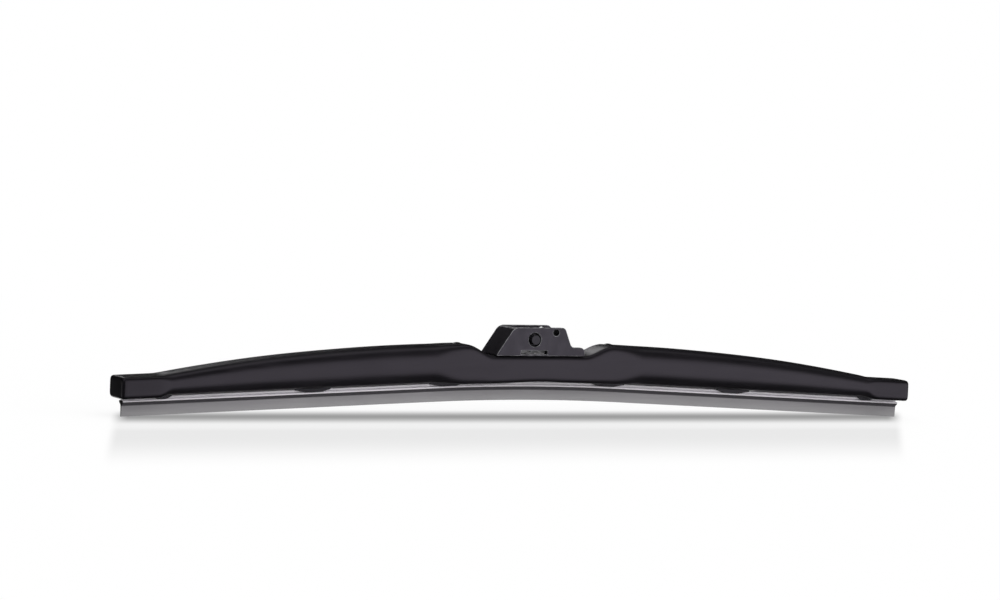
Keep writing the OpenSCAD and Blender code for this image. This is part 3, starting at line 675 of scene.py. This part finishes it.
def build_boot():
    """The boot in five lengths that meet face to face: the middle one is fixed to the bridge, and
    the other four keep the places they are drawn in."""
    near, far = BOOT_CUTS
    middle = piece("boot_middle", *boot_stretch(-near, near), "boot_rubber")
    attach(middle, "frame")
    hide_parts("boot")
    for side, word in SIDES:
        mid_parts = boot_stretch(*sorted((side * near, side * far)))
        mid = piece(f"boot_{word}_quarter", *mid_parts, "boot_rubber")
        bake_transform(mid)
        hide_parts("boot")
        shell = boot_stretch(*sorted((side * far, side * CAP_SOLID_X)))
        end = piece(f"boot_{word}_end", *merged(shell, boot_end_wall(side)), "boot_rubber")
        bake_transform(end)
        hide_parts("boot")


def rounded(corners):
    """A line through corners given as (y, depth, radius); a corner with a radius becomes an arc."""
    line = []
    for k, (y, depth, radius) in enumerate(corners):
        here = np.array([y, depth])
        if radius == 0 or k in (0, len(corners) - 1):
            line.append(here[None])
            continue
        back = np.array(corners[k - 1][:2]) - here
        ahead = np.array(corners[k + 1][:2]) - here
        back, ahead = back / np.linalg.norm(back), ahead / np.linalg.norm(ahead)
        half = math.acos(np.clip(back @ ahead, -1, 1)) / 2
        bisector = (back + ahead) / np.linalg.norm(back + ahead)
        centre = here + bisector * radius / math.sin(half)
        a = here + back * radius / math.tan(half) - centre
        b = here + ahead * radius / math.tan(half) - centre
        t = np.linspace(0, 1, CORNER_STEPS + 1)[:, None]
        arc = a * (1 - t) + b * t
        line.append(centre + arc / np.linalg.norm(arc, axis=1, keepdims=True) * radius)
    return np.concatenate(line)


def swept(section, x, edge_waves=False):
    """A closed section of (y, depth) points carried along the head's line through the places x."""
    y = np.broadcast_to(section[None, :, 0], (len(x), len(section)))
    depth = np.broadcast_to(section[None, :, 1], y.shape)
    if edge_waves:
        sway = np.maximum(depth - LIP_ROOT, 0) / LIP_HEIGHT
        y = y + LIP_SWAY * sway * waves(x, LIP_WAVES)[:, None]
    z = head_z(x)[:, None] - depth / MM_PER_METRE
    points = np.stack([np.broadcast_to(x[:, None], y.shape), y / MM_PER_METRE, z], -1)
    rows, columns = points.shape[:2]
    faces = grid_faces(rows, columns, flip=True)
    near, far = end_rows(rows, columns)
    return points.reshape(-1, 3), faces + [near, far[::-1]], depth.ravel()


def bend_with_linkage(obj, outer):
    """A length of the squeegee keeps its place: its placement is baked into its points, for an
    outer length as for an inner one."""
    if outer:
        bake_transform(obj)
    else:
        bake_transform(obj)


def build_squeegee():
    """The squeegee and its two strips, each in four lengths."""
    half = rounded(HALF_SECTION)
    section = np.concatenate([half, half[-2:0:-1] * [-1, 1]])
    strip = rounded(STRIP_SECTION)[1:-1]
    for side, word in SIDES:
        for outer, name in ((False, "inner"), (True, "outer")):
            start, end = (ELEMENT_CUT, ELEMENT_HALF) if outer else (0, ELEMENT_CUT)
            x = np.sort(side * along(start, end, ELEMENT_STEP))
            points, faces, depth = swept(section, x, True)
            rubber = piece(f"squeegee_{word}_{name}", points, faces, "squeegee_rubber", depth, 2)
            bend_with_linkage(rubber, outer)
            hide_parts("squeegee")
            x = np.sort(side * along(start, min(end, STRIP_HALF), ELEMENT_STEP))
            for across, edge in ((-1, "front"), (1, "back")):
                points, faces, depth = swept(strip * [across, 1], x)
                if across < 0:
                    faces = [face[::-1] for face in faces]
                steel = piece(f"vertebra_{edge}_{word}_{name}", points, faces, "spring_steel")
                bend_with_linkage(steel, outer)
                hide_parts(f"vertebra_{edge}")


def dressed(node, slot, width, edge=None):
    """A copy of a rigid node takes its place, with its triangles joined up and its edges broken by
    a small bevel, which may have a finish of its own."""
    mesh = frame["nodes"][node].data.copy()
    mesh.materials.clear()
    mesh.materials.append(MATERIALS[slot])
    if edge:
        mesh.materials.append(MATERIALS[edge])
    work = bmesh.new()
    work.from_mesh(mesh)
    bmesh.ops.remove_doubles(work, verts=work.verts, dist=JOIN_DISTANCE)
    bmesh.ops.dissolve_limit(work, angle_limit=FLAT_ANGLE, verts=work.verts, edges=work.edges)
    work.to_mesh(mesh)
    work.free()
    obj = placed(f"{node}_finished", mesh)
    bevel = obj.modifiers.new("broken_edges", "BEVEL")
    bevel.width = width
    bevel.segments = BEVEL_SEGMENTS
    bevel.limit_method = "ANGLE"
    bevel.angle_limit = BROKEN_ANGLE
    bevel.use_clamp_overlap = False
    bevel.material = 1 if edge else -1
    shade_smooth(mesh)
    bodies = frame["record"]["behaviour"]["bodies"]
    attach(obj, next(body for body, names in bodies.items() if node in names))
    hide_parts(node)


def dress_rigid_nodes():
    """Every rigid node gets its finish; those that show also get broken edges."""
    # The connector's broken edges carry a painted highlight
    dressed("connector", "connector_plastic", width=0.00030, edge="connector_edge_highlight")
    dressed("pivot_pin", "pin_steel", width=0.0002)
    dressed("hook_clip", "clip_plastic", width=0.0002)
    # The bridge's broken edges are bare metal with a painted glint
    dressed("bridge", "black_steel", width=0.00025, edge="bare_edge_and_glint")
    for _, word in SIDES:
        dressed(f"yoke_{word}", "black_steel", width=0.0001)
        dressed(f"claw_yoke_{word}", "black_steel", width=0.0001)
    finishes = {"rivet": "rivet_steel", "liner": "liner_plastic", "stud": "stud_plastic"}
    for name, node in frame["nodes"].items():
        for word, slot in finishes.items():
            if word in name:
                node.data.materials.clear()
                node.data.materials.append(MATERIALS[slot])


def build_camera():
    """The camera stands CAMERA_DISTANCE away at the photograph's yaw, elevation and roll, and is
    turned so that the pin falls on PIN_PIXEL."""
    yaw, lift, roll = CAMERA_YAW, CAMERA_ELEVATION, CAMERA_ROLL
    back = Vector((math.sin(yaw) * math.cos(lift), -math.cos(yaw) * math.cos(lift), math.sin(lift)))
    right = Vector((math.cos(yaw), math.sin(yaw), 0))
    up = back.cross(right)
    rolled_right = right * math.cos(roll) + up * math.sin(roll)
    rolled_up = up * math.cos(roll) - right * math.sin(roll)
    off_x = (PIN_PIXEL[0] - IMAGE_WIDTH / 2) / FOCAL_PIXELS
    off_y = (IMAGE_HEIGHT / 2 - PIN_PIXEL[1]) / FOCAL_PIXELS
    forward = (-back - rolled_right * off_x - rolled_up * off_y).normalized()
    new_right = forward.cross(rolled_up).normalized()
    new_up = new_right.cross(forward)
    data = bpy.data.cameras.new("camera")
    data.sensor_width = SENSOR
    data.lens = FOCAL_PIXELS / IMAGE_WIDTH * SENSOR
    data.clip_end = VIEW_REACH
    camera = placed("camera", data)
    turn = Matrix((new_right, new_up, -forward)).transposed()
    camera.matrix_world = Matrix.Translation(back * CAMERA_DISTANCE) @ turn.to_4x4()
    bpy.context.scene.camera = camera


FLOOR_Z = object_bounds()[0].z - FLOOR_GAP


def build_floor():
    """A wide pale floor. Other rays see it plain; the camera sees it white, darkened by the real
    shading, by a soft contact shade under the blade and by a faint reflection drawn out towards the
    camera."""
    f = Finish(bpy.data.materials.new("floor"))
    spot = f.spot()
    y = spot.output("Y")
    along_blade = (spot - y * math.tan(-CAMERA_YAW)) * (1 - y * 0.4)
    square = along_blade * along_blade
    shade = square.ramp(*SHADE_ENDS) * y.ramp(SHADE_HALF, 0.0) * y.ramp(-SHADE_HALF, 0.0)
    shade = shade * SHADE_STRENGTH
    mirrored = y.ramp(0.0, -0.035) * 0.11 + y.ramp(-0.055, -0.085) * 0.07
    mirrored = square.ramp(*REFLECTION_ENDS) * y.ramp(*REFLECTION_FADE) * mirrored
    paint = 1 - shade - mirrored
    colour = f.add("ShaderNodeCombineColor", None, {0: paint, 1: paint, 2: paint})
    seen = f.principled(Base_Color=f.blend(0.80, colour, (0, 0, 0, 1)), Emission_Color=colour,
                        Emission_Strength=0.83, Roughness=1.0, Specular_IOR_Level=0.0)
    plain = f.principled(Base_Color=grey(0.82), Roughness=1.0, Specular_IOR_Level=0.0)
    white = f.add("ShaderNodeEmission", None, {"Color": (1, 1, 1, 1), "Strength": 1.0})
    far = (y * y).ramp(0.30, 0.9)
    seen = f.add("ShaderNodeMixShader", None, {0: far, 1: seen, 2: white})
    is_camera_ray = f.add("ShaderNodeLightPath")
    f.output(f.add("ShaderNodeMixShader", None, {0: is_camera_ray, 1: plain, 2: seen}))
    mesh = bpy.data.meshes.new("floor")
    corners = [(x * FLOOR_HALF, y * FLOOR_HALF, 0) for x, y in ((-1, -1), (1, -1), (1, 1), (-1, 1))]
    mesh.from_pydata(corners, [], [(0, 1, 2, 3)])
    mesh.materials.append(f.owner)
    floor = placed("floor", mesh)
    floor.location.z = FLOOR_Z
    floor.visible_glossy = False


def build_world():
    """A soft room. The camera sees white; diffuse surfaces are lit from all sides but the left; and
    gloss shows a bright low wall in front, two low walls behind, a bright screen behind on the
    right, a strip light on the left, a soft light overhead and otherwise near darkness. The ramps'
    numbers are components of the direction looked in."""
    world = bpy.data.worlds.new("studio")
    bpy.context.scene.world = world
    f = Finish(world)
    x = f.add("ShaderNodeSeparateXYZ", None, {0: f.add("ShaderNodeTexCoord")})
    y, z = x.output("Y"), x.output("Z")
    path = f.add("ShaderNodeLightPath")
    glossy = path.output("Is Glossy Ray")
    seen = path + path.output("Is Transmission Ray")
    lit = x.ramp(-0.7, 0.1, 0.05, 1.0) * y.ramp(-0.1, -0.7, 1.0, 1.8)
    wall = y.ramp(-0.2, -0.65) * z.ramp(-0.50, -0.12) * z.ramp(0.42, -0.02) * x.ramp(0.0, 0.42)
    back_wall = y.ramp(0.2, 0.65) * z.ramp(-0.65, -0.40) * z.ramp(0.0, -0.10)
    back_wall = back_wall * (x.ramp(-0.10, 0.10) + x.ramp(-0.62, -0.82))
    screen = y.ramp(0.3, 0.6) * x.ramp(0.08, 0.17) * x.ramp(0.25, 0.20)
    screen = screen * z.ramp(0.24, 0.34) * z.ramp(0.8, 0.6)
    strip = x.ramp(-0.45, -0.62) * y.ramp(-0.1, -0.3) * z.ramp(0.4, 0.55) * z.ramp(0.9, 0.75)
    overhead = z.ramp(0.80, 0.92) * y.ramp(0.3, 0.0)
    gloss = y.ramp(-0.2, 0.4, 0.06, 0.018)
    for light, brightness in ((wall, 2.3), (back_wall, 2.2), (screen, 3.6), (strip, 4),
                              (overhead, 0.8)):
        gloss = gloss + light * brightness
    strength = lit * (1 - glossy) + gloss * glossy
    strength = strength * (1 - seen) + seen
    room = f.add("ShaderNodeBackground", None, {"Color": (1, 1, 1, 1), "Strength": strength})
    f.output(room, "World")


build_camera()
build_floor()
build_world()
build_boot()
build_squeegee()
dress_rigid_nodes()

bpy.context.scene.view_settings.view_transform = "Standard"
